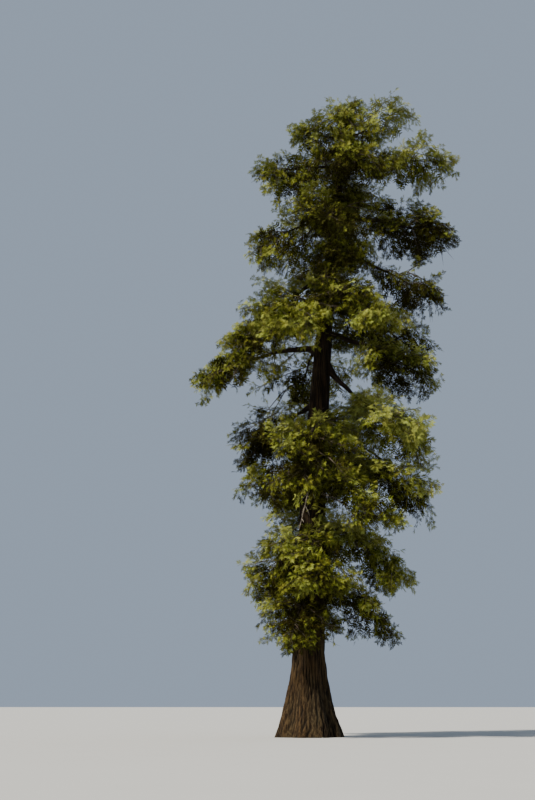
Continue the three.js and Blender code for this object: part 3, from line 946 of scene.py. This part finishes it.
# The needles of a shoot a unit long, as points in its own frame, four to a needle.
def needleTemplate(shape, draw):
    swell, more = shape["swell"]
    needles = []
    for k in range(shape["pairs"]):
        x = shape["from"] + shape["span"] * (k + 0.5) / shape["pairs"]
        for side in (-1, 1):
            length = shape["length"] * (swell + more * math.sin(math.pi * x)) * drawn(draw, *shape["lengths"])
            angle = math.radians(shape["angle"] + swing(draw, shape["angleSpread"]))
            fall = -shape["droop"] + swing(draw, shape["droopSpread"])
            way = unit(np.array([math.cos(angle), side * math.sin(angle), fall]))
            needles.append((np.array([x + swing(draw, shape["placeSpread"]), 0.0, 0.0]), way, length))
    tipWay = unit(np.array([1.0, swing(draw, shape["tipSpread"]), 0.0]))
    needles.append((np.array([shape["tipEnd"] - shape["length"], 0.0, 0.0]), tipWay, shape["length"]))
    points = []
    for root, way, length in needles:
        side = unit(np.cross(up, way))
        wide = side * length * shape["width"] / 2
        raised = up * (length * shape["width"] * shape["fold"])
        middle = root + way * length * shape["widest"]
        points += [root, middle - wide + raised, root + way * length, middle + wide + raised]
    return np.array(points)


# Every needle of the given shoots, bent down with them.
def needlesOf(strands, variants):
    count = len(strands["size"])
    frameX = strands["way"]
    frameY = np.cross(strands["over"], frameX)
    places = np.stack([frameX, frameY, strands["over"]], 1) * strands["size"][:, None, None]
    kind = np.arange(count) % len(variants)
    local = np.array(variants)[kind]
    points = np.einsum("npk,nkj->npj", local, places) + strands["root"][:, None, :]
    points -= up * (strands["sag"] * strands["size"])[:, None, None] * local[:, :, :1] ** 2
    quads = np.arange(count * local.shape[1]).reshape(-1, 4)
    faces = np.stack([quads[:, [0, 1, 2]], quads[:, [0, 2, 3]]], 1).reshape(-1, 3)
    return points.reshape(-1, 3), faces


# Shades of the needle sprays, from the youngest and most exposed to the oldest, near the stem: partly their
# own colour, and partly painted light and painted shade, as lit and shaded copies of one green dealt out by
# how open to the light each spray is.
needleShades = {
    "litFreshTips": ((0.208, 0.245, 0.058), (0.196, 0.198, 0.042)),
    "sunlitGreen": ((0.158, 0.190, 0.032), (0.142, 0.140, 0.022)),
    "olive": ((0.104, 0.124, 0.011), (0.088, 0.083, 0.008)),
    "shadedDeepGreen": ((0.046, 0.056, 0.008), (0.038, 0.037, 0.004)),
    "shadedInnerBrown": ((0.020, 0.019, 0.002), (0.015, 0.012, 0.001)),
}
needleFinish = {"patch": 2.0, "patchDetail": 3.0, "roughness": 0.8, "shine": 0.04}
shadeSteps = (0.66, 0.42, 0.18, -0.02)  # exposures at which one shade gives way to the next
# Painted light and painted shade: how each thing moves a spray's exposure, and with it its shade, so that
# sprays low and deep in a mass, near the trunk and where two masses meet are painted darker, and those at its
# top and rim lighter.
exposureSetup = {
    "least": 0.53,  # taken off all over
    "rim": 0.82,  # added from the middle of a mass to its rim
    "rise": 0.38,  # and from its middle to its top
    "crevice": 0.14,  # and away from where two masses meet
    "creviceReach": 0.4,
    "aside": 0.10,  # and away from the trunk
    "asideReach": 3.0,  # metres from its axis
    "layers": 0.13,  # a smooth wave in flat layers: painted lit shelves with painted shade between them
    "tone": 0.45,  # how much the tone of a strand and the painted light and shade of its mass count
}
layerSetup = {"waves": 16, "across": 2.4, "upright": 1.0, "seed": 12}
# Heights from which the boughs above shade the tops of masses, and how that darkens them.
shadedTops = {"middle_front_left": 19.8, "middle_front_right": 19.7}
shadowSetup = {"over": 0.8, "depth": 0.55}


def needleMaterial(name, light, dark):
    material, tree, shader = newMaterial(name)
    noise = stretchedNoise(tree, needleFinish["patch"], unstretched, needleFinish["patchDetail"])
    patches = ranged(tree, noise, *noiseSpan)
    tree.links.new(blendColours(tree, patches, light, dark), shader.inputs["Base Color"])
    shader.inputs["Roughness"].default_value = needleFinish["roughness"]
    shader.inputs["Specular IOR Level"].default_value = needleFinish["shine"]
    return material


# The painted light and painted shade of each strand, by how open to the light it is: most at the top and rim
# of its mass, least near the trunk and where two masses meet.
def shadeOf(strands):
    weight = exposureSetup
    middle = pointsAt(strands, growth["middleAt"])
    own = strands["own"]
    mine, others = depthsOf(middle, own)
    rise = (middle - spaceCentres[own])[:, 2] / spaceDepths[own]
    crevice = np.clip((others - mine) / weight["creviceReach"], 0.0, 1.0)
    aside = np.linalg.norm(middle[:, :2] - trunkCentre(middle[:, 2])[:, :2], axis=1)
    exposure = weight["rim"] * mine - weight["least"] + weight["rise"] * rise + weight["crevice"] * crevice
    exposure = exposure + weight["aside"] * np.clip(aside / weight["asideReach"], 0, 1)
    exposure = exposure + weight["layers"] * spaceWave(middle, layerSetup) + weight["tone"] * strands["tone"]
    tops = np.array([shadedTops.get(limb["name"], math.inf) for limb in limbs])[own]
    exposure = exposure - shadowSetup["depth"] * np.clip((middle[:, 2] - tops) / shadowSetup["over"], 0, 1)
    return np.searchsorted(-np.array(shadeSteps), -exposure)


zones = {
    "crown_top": ("crest", "shoulder"),
    "crown_upper": ("upper",),
    "crown_middle": ("middle",),
    "crown_waist": ("waist",),
    "crown_lower": ("lower",),
    "crown_apron": ("apron",),
    "crown_skirt": ("skirt", "hem"),
}
tierZones = {tier: zone for zone, tiersIn in zones.items() for tier in tiersIn}
zoneOf = np.array([tierZones[limb["tier"]] for limb in limbs])


def massNodes(zone):
    return [f"foliage_{limb['name']}" for limb in limbs if limb["tier"] in zones[zone]]


def finish(piece, replaced):
    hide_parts(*replaced)
    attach(piece, "root")


def addNeedles(zone, groups, materials):
    points, faces, shades = [], [], []
    for group, kinds, shape in groups:
        mine = chosen(group, zoneOf[group["own"]] == zone)
        madePoints, madeFaces = needlesOf(mine, kinds)
        faces.append(madeFaces + sum(len(some) for some in points))
        points.append(madePoints)
        older = np.repeat(shape["older"], [4] * shape["pairs"] + [2])
        shade = shadeOf(mine)[:, None] + older[None, :]
        shades.append(np.clip(shade, 0, len(materials) - 1).ravel())
    points, faces, shades = (np.concatenate(parts) for parts in (points, faces, shades))
    needles = meshPiece(f"needles_{zone}", points, faces, materials, shades)
    finish(needles, massNodes(zone))
    print(needles.name, len(faces), "faces")


shadeMaterials = [needleMaterial(name, *colours) for name, colours in needleShades.items()]
draw = seeded(growth["seed"])
variants = [needleTemplate(needleShape, draw) for _ in range(needleShape["variants"])]
innerVariants = [needleTemplate(innerShape, draw) for _ in range(innerShape["variants"])]
groups = ((shoots, variants, needleShape), (innerShoots, innerVariants, innerShape))
for zone in zones:
    addNeedles(zone, groups, shadeMaterials)


twigSetup = {
    "rods": ((0.045, 2, 4), (0.028, 3, 3), (0.013, 1, 3)),  # radius, rings and sides of each kind
    "widths": (0.6, 1.4),  # of that radius, for short and long ones
    "grain": 6.0,
    "grainStretch": 0.4,
    "grainDetail": 4.0,
    "relief": 0.4,
    "reliefDepth": 0.01,
    "roughness": 0.85,
    "wood": (0.040, 0.024, 0.013),
    "greenwood": (0.034, 0.028, 0.010),
}


def twigMaterial(setup):
    material, tree, shader = newMaterial("twigBark")
    grain = stretchedNoise(tree, setup["grain"], (1.0, 1.0, setup["grainStretch"]), setup["grainDetail"])
    colour = blendColours(tree, ranged(tree, grain, *noiseSpan), setup["wood"], setup["greenwood"])
    tree.links.new(colour, shader.inputs["Base Color"])
    relief = bumpFrom(tree, grain, setup["relief"], setup["reliefDepth"])
    tree.links.new(relief, shader.inputs["Normal"])
    shader.inputs["Roughness"].default_value = setup["roughness"]
    return material


def addTwigs(kinds, setup):
    points, faces, start = [], [], 0
    for strands, (radius, rings, sides) in zip(kinds, setup["rods"]):
        size = strands["size"]
        wide = radius * np.clip(size / np.median(size), *setup["widths"])
        madePoints, madeFaces = tubesOf(strands, wide, rings, sides)
        points.append(madePoints)
        faces.append(madeFaces + start)
        start += len(madePoints)
    points, faces = np.concatenate(points), np.concatenate(faces)
    twigs = meshPiece("twigs", points, faces, [twigMaterial(setup)], smooth=True)
    finish(twigs, [f"foliage_{limb['name']}" for limb in limbs])
    print("twigs", len(twigs.data.polygons), "faces")


addTwigs((scaffold, plumes, fronds), twigSetup)


# Bark

barkSetup = {
    "sides": 176,
    "rings": 140,
    "ringPower": 1.35,  # sets the rings closer together near the ground
    "furrows": 36,  # round the trunk
    "furrowDepth": 0.095,
    "furrowTop": 0.020,  # their depth high up
    "furrowFade": 9.0,  # metres over which they get shallower
    "furrowPower": 1.5,
    "ridges": 0.3,  # of the depth, that ridges stand out
    "weave": 1.0,
    "weaveWaves": ((2, 3, 5, 8), (1.3, 2.1, 3.3, 4.9)),  # turns to the round, and rises
    "slant": 0.5,
    "seeds": (11, 31),  # of the furrows that climb to either side
    "openShare": 0.62,  # how far they are open, and how much that changes from place to place
    "openSpread": 0.6,
    "openWaves": ((7, 12, 5), (1.9, 3.2, 4.1)),
    "lumps": 0.020,
    "lumpWaves": ((4, 9, 14, 23), (2.2, 3.4, 6.0, 8.0)),
    "lumpSeed": 13,
    "leastShare": 0.1,  # of the relief, where the trunk is thin
    "leastRadius": 0.008,
    "capRise": 0.02,  # metres that the middle of the top stands up
    "grain": 1.0,
    "ridgeColour": (0.056, 0.033, 0.013),
    "barkColour": (0.013, 0.007, 0.0026),
    # the near-black of painted shade, at the bottom of the furrows and under the crown
    "paintedShadeColour": (0.0016, 0.0010, 0.0004),
    "greyColour": (0.054, 0.040, 0.019),
    "shadedFrom": 3.0,  # heights between which the bark is painted darker, as painted shade under the crown
    "shadedTo": 13.0,
    "shadedShare": 0.62,
}
barkFinish = {
    "fibres": 15.0,  # the size of the pattern, which each kind of bark's grain multiplies
    "fibreStretch": 0.045,
    "fibreDetail": 7.0,
    "fibreRoughness": 0.7,
    "fibreSpan": (0.43, 0.58),
    "patches": 0.8,
    "patchStretch": 0.35,
    "patchDetail": 3.0,
    "patchSpan": (0.40, 0.62),
    # of the furrows: the span over which their painted shade comes in
    "furrowSpan": (0.12, 0.80),
    "relief": 1.0,
    "reliefDepth": 0.06,
    "roughness": 0.93,
    "shine": 0.15,
}


waveRule = {
    "rises": (0.8, 0.4),  # the least share of each rise, and the spread above it
    "round": 6.283,  # where along itself a wave may start
}


# A smooth repeatable wave over the angle round the trunk and the height, about -1 to 1.
def barkWave(angle, z, turns, rises, seed):
    draw = seeded(seed)
    total = np.zeros(np.broadcast(angle, z).shape)
    for turn, rise in zip(turns, rises):
        climb = rise * z * drawn(draw, *waveRule["rises"])
        total = total + np.cos(turn * angle + climb + waveRule["round"] * draw())
    return total / math.sqrt(len(turns))


def barkMaterial(name, setup):
    look = barkFinish
    material, tree, shader = newMaterial(name)
    furrow = tree.nodes.new("ShaderNodeAttribute")
    furrow.attribute_name = "furrow"
    fibres = stretchedNoise(tree, look["fibres"] * setup["grain"], (1.0, 1.0, look["fibreStretch"]),
                            look["fibreDetail"], look["fibreRoughness"])
    patches = stretchedNoise(tree, look["patches"] * setup["grain"], (1.0, 1.0, look["patchStretch"]),
                             look["patchDetail"])
    patches = ranged(tree, patches, *look["patchSpan"])
    streaks = ranged(tree, fibres, *look["fibreSpan"])
    body = blendColours(tree, streaks, setup["barkColour"], setup["ridgeColour"])
    greyed = blendColours(tree, streaks, setup["barkColour"], setup["greyColour"])
    weathered = blendColours(tree, patches, body, greyed)
    if "shadedTo" in setup:
        place = node(tree, "ShaderNodeTexCoord")
        parts = node(tree, "ShaderNodeSeparateXYZ", [(place.outputs["Object"], "Vector")])
        shaded = ranged(tree, parts.outputs["Z"], setup["shadedFrom"], setup["shadedTo"], 0.0,
                        setup["shadedShare"])
        weathered = blendColours(tree, shaded, weathered, setup["paintedShadeColour"])
    # Painted shade: the bark is coloured darker towards the bottom of its furrows, on top of their real
    # relief.
    depth = ranged(tree, furrow.outputs["Fac"], *look["furrowSpan"])
    tree.links.new(blendColours(tree, depth, weathered, setup["paintedShadeColour"]), shader.inputs["Base Color"])
    tree.links.new(bumpFrom(tree, fibres, look["relief"], look["reliefDepth"]), shader.inputs["Normal"])
    shader.inputs["Roughness"].default_value = look["roughness"]
    shader.inputs["Specular IOR Level"].default_value = look["shine"]
    return material


def anglesRound(sides):
    return (np.arange(sides) * 2 * math.pi / sides)[None, :]


def gridFaces(rings, sides, start=0):
    ring, side = np.meshgrid(np.arange(rings - 1), np.arange(sides), indexing="ij")
    a = start + ring * sides + side
    b = start + ring * sides + (side + 1) % sides
    quads = np.stack([a, b, b + sides, a + sides], -1).reshape(-1, 4)
    return np.concatenate([quads[:, [0, 1, 2]], quads[:, [0, 2, 3]]])


def giveFurrows(piece, values):
    attribute = piece.data.attributes.new("furrow", "FLOAT", "POINT")
    attribute.data.foreach_set("value", np.asarray(values, np.float32))


# Furrows that climb to both sides and cross, 0 on a ridge and 1 at the bottom of an open furrow.
def furrowsOn(angle, z, setup):
    furrow = np.zeros(np.broadcast(angle, z).shape)
    for seed, climb in zip(setup["seeds"], (1.0, -1.0)):
        weave = barkWave(angle, z, *setup["weaveWaves"], seed) * setup["weave"]
        line = 1 - np.abs(np.sin(setup["furrows"] / 2 * angle + weave + climb * setup["slant"] * z))
        wave = barkWave(angle, z, *setup["openWaves"], seed + 1)
        opened = np.clip(setup["openShare"] + setup["openSpread"] * wave, 0.0, 1.0)
        furrow = np.maximum(furrow, line ** setup["furrowPower"] * opened)
    return furrow


def addTrunk(setup):
    sides, rings = setup["sides"], setup["rings"]
    angle = anglesRound(sides)
    z = (trunkShape["trunkHeight"] * (np.arange(rings) / (rings - 1)) ** setup["ringPower"])[:, None]
    furrow = furrowsOn(angle, z, setup)
    radius = trunkRadius(z, angle)
    share = np.clip(radius / trunkShape["boleRadius"], setup["leastShare"], 1.0)
    top, foot = setup["furrowTop"], setup["furrowDepth"]
    depth = top + (foot - top) * np.exp(-z / setup["furrowFade"])
    lumps = barkWave(angle, z, *setup["lumpWaves"], setup["lumpSeed"]) * setup["lumps"]
    out = radius + (setup["ridges"] - furrow) * depth * share + lumps * share
    out = np.maximum(out, setup["leastRadius"])
    centre = trunkCentre(np.broadcast_to(z, out.shape))
    points = centre + outwards(np.broadcast_to(angle, out.shape)) * out[..., None]
    points = points.reshape(-1, 3)
    faces = gridFaces(rings, sides)
    ends = np.array([[0.0, 0.0, 0.0], trunkCentre(trunkShape["trunkHeight"]) + up * setup["capRise"]])
    low, high = len(points), len(points) + 1
    rim = (rings - 1) * sides
    caps = [[low, (k + 1) % sides, k] for k in range(sides)]
    caps += [[high, rim + k, rim + (k + 1) % sides] for k in range(sides)]
    trunk = meshPiece("trunk_bark", np.concatenate([points, ends]), np.concatenate([faces, caps]),
                      [barkMaterial("furrowedBark", setup)], smooth=True)
    giveFurrows(trunk, np.concatenate([furrow.ravel(), [0.0, 0.0]]))
    finish(trunk, ["trunk"])
    print("trunk", len(trunk.data.polygons), "faces")


limbLines = {
    "ringPower": 0.9,
    "slimOver": 0.35,  # of the limb, over which it gets slimmer
    "widest": 1.9,  # times the plain radius, at the collar
    "knobWaves": ((2, 3, 5), (5.0, 9.0, 13.0)),
    "bendWaves": ((1, 1), (2.1, 4.3)),
    "bendShift": 5,  # rings, from the bends to the side to those up and down
    "furrow": (0.5, 2.2),  # share of painted shade on the plain round, and how much less on a knob, so the knobs are painted lighter than the dips
    "seed": 40,
    "seedStep": 7,
    "forkSeed": 5,
}
limbSetup = {
    "sides": 10,
    "rings": 22,
    "collar": 0.9,  # how much wider a limb is where it leaves the trunk
    "collarReach": 0.20,
    "knobs": 0.10,
    "bend": 0.45,  # of its radius
    "slimmer": 0.45,  # how much slimmer it gets inside its mass
    "grain": 1.6,
    "ridgeColour": (0.034, 0.023, 0.014),
    "barkColour": (0.018, 0.011, 0.006),
    # the dark of painted shade, at the bottom of the furrows and in the dips between knobs
    "paintedShadeColour": (0.005, 0.003, 0.002),
    "greyColour": (0.030, 0.024, 0.017),
}
deadSetup = {
    "sides": 8,
    "rings": 26,
    "collar": 0.7,
    "collarReach": 0.15,
    "knobs": 0.16,
    "bend": 0.9,
    "slimmer": 0.0,
    "forks": 8,
    "forkFrom": 0.22,
    "forkPlaces": 0.6,  # of the way to the next fork, that they are moved at most
    "forkTurns": (0.5, 0.5),  # the least, and the spread above it
    "forkDroop": 0.7,
    "forkSize": 0.85,
    "forkSizes": (0.35, 0.9),  # the least share of that size, and the spread above it
    "forkEnd": 1.15,  # of the limb: here, past its tip, forks would have no length
    "forkSag": 0.25,
    "forkRadius": 0.017,
    "forkRings": 4,
    "forkSides": 4,
    "forkFurrow": 0.2,
    "grain": 2.0,
    "ridgeColour": (0.66, 0.60, 0.49),
    "barkColour": (0.44, 0.38, 0.30),
    # the dark of painted shade, at the bottom of the furrows and in the dips between knobs
    "paintedShadeColour": (0.12, 0.095, 0.07),
    "greyColour": (0.56, 0.53, 0.48),
}


# One limb as rings from the trunk's axis to its tip, with a collar at the trunk, knobs and bends.
def limbRings(limb, setup, seed):
    lines = limbLines
    sides, rings = setup["sides"], setup["rings"]
    s = np.linspace(0.0, 1.0, rings) ** lines["ringPower"]
    angle = anglesRound(sides)
    along, across, over = limbFrame(limb, s)
    gone = np.maximum(s * limb["reach"] - boleRadiusAt(limb["root"]), 0.0)
    if limb["name"] == "leader":
        gone = gone + 1.0  # so that it has no collar, as it carries on from the trunk
    slim = 1 - setup["slimmer"] * np.clip((s - limb.get("bare", 0.0)) / lines["slimOver"], 0.0, 1.0)
    collar = np.minimum(1 + setup["collar"] * np.exp(-gone / setup["collarReach"]), lines["widest"])
    radius = limbRadius(limb, s) * slim * collar
    knobs = barkWave(angle, s[:, None] * limb["reach"], *lines["knobWaves"], seed) * setup["knobs"]
    wave = barkWave(np.zeros(1), s * limb["reach"], *lines["bendWaves"], seed + 1)
    lifted = np.roll(wave, lines["bendShift"])
    drift = (across * wave[:, None] + over * lifted[:, None]) * (radius * setup["bend"])[:, None]
    ring = across[:, None, :] * np.cos(angle)[..., None] + over[:, None, :] * np.sin(angle)[..., None]
    points = (limbPoint(limb, s) + drift)[:, None, :] + ring * (radius[:, None] * (1 + knobs))[..., None]
    # Painted shade: the limb's bark is coloured darker in the dips between its knobs and lighter on them.
    plain, less = lines["furrow"]
    furrow = np.clip(plain - less * knobs, 0.0, 1.0)
    return points.reshape(-1, 3), furrow.ravel()


# Bare side twigs of a dead limb, left and right in turn, some broken off short.
def forksOf(limb, setup, random):
    count = setup["forks"]
    order = np.arange(count)
    first = setup["forkFrom"]
    s = first + (1 - first) * (order + setup["forkPlaces"] * random.random(count)) / count
    along, across, over = limbFrame(limb, s)
    low, spread = setup["forkTurns"]
    turn = np.where(order % 2, 1.0, -1.0) * (low + spread * random.random(count))
    lift = random.random(count) - setup["forkDroop"]
    way = along + across * turn[:, None] + over * lift[:, None]
    low, spread = setup["forkSizes"]
    size = setup["forkSize"] * (low + spread * random.random(count)) * (setup["forkEnd"] - s)
    none = np.zeros(count)
    sag = np.full(count, setup["forkSag"])
    return strandsOf(limbPoint(limb, s), way, up + across, size, sag, none.astype(int), none)


# All limbs of one kind as one piece, with the side twigs that its setup gives them.
def joinedLimbs(name, group, setup, material, nodes):
    points, faces, furrows, start = [], [], [], 0
    for seed, limb in enumerate(group):
        made, furrow = limbRings(limb, setup, limbLines["seed"] + limbLines["seedStep"] * seed)
        last = len(made) - setup["sides"]
        caps = [[last, last + k, last + k + 1] for k in range(1, setup["sides"] - 1)]
        caps += [[0, k + 1, k] for k in range(1, setup["sides"] - 1)]
        points.append(made)
        furrows.append(furrow)
        faces += [gridFaces(setup["rings"], setup["sides"], start), np.array(caps) + start]
        start += len(made)
        if "forks" in setup:
            forks = forksOf(limb, setup, np.random.default_rng(seed + limbLines["forkSeed"]))
            wide = np.full(setup["forks"], setup["forkRadius"])
            made, forkFaces = tubesOf(forks, wide, setup["forkRings"], setup["forkSides"])
            points.append(made)
            furrows.append(np.full(len(made), setup["forkFurrow"]))
            faces.append(forkFaces + start)
            start += len(made)
    piece = meshPiece(name, np.concatenate(points), np.concatenate(faces), [material], smooth=True)
    giveFurrows(piece, np.concatenate(furrows))
    finish(piece, nodes)
    print(name, len(piece.data.polygons), "faces")


addTrunk(barkSetup)
joinedLimbs("limbs", limbs, limbSetup, barkMaterial("limbBark", limbSetup),
            [f"bough_{limb['name']}" for limb in limbs if "bough" in limb])
joinedLimbs("dead_limbs", deadLimbs, deadSetup, barkMaterial("bleachedWood", deadSetup),
            [f"dead_limb_{limb['name']}" for limb in deadLimbs])
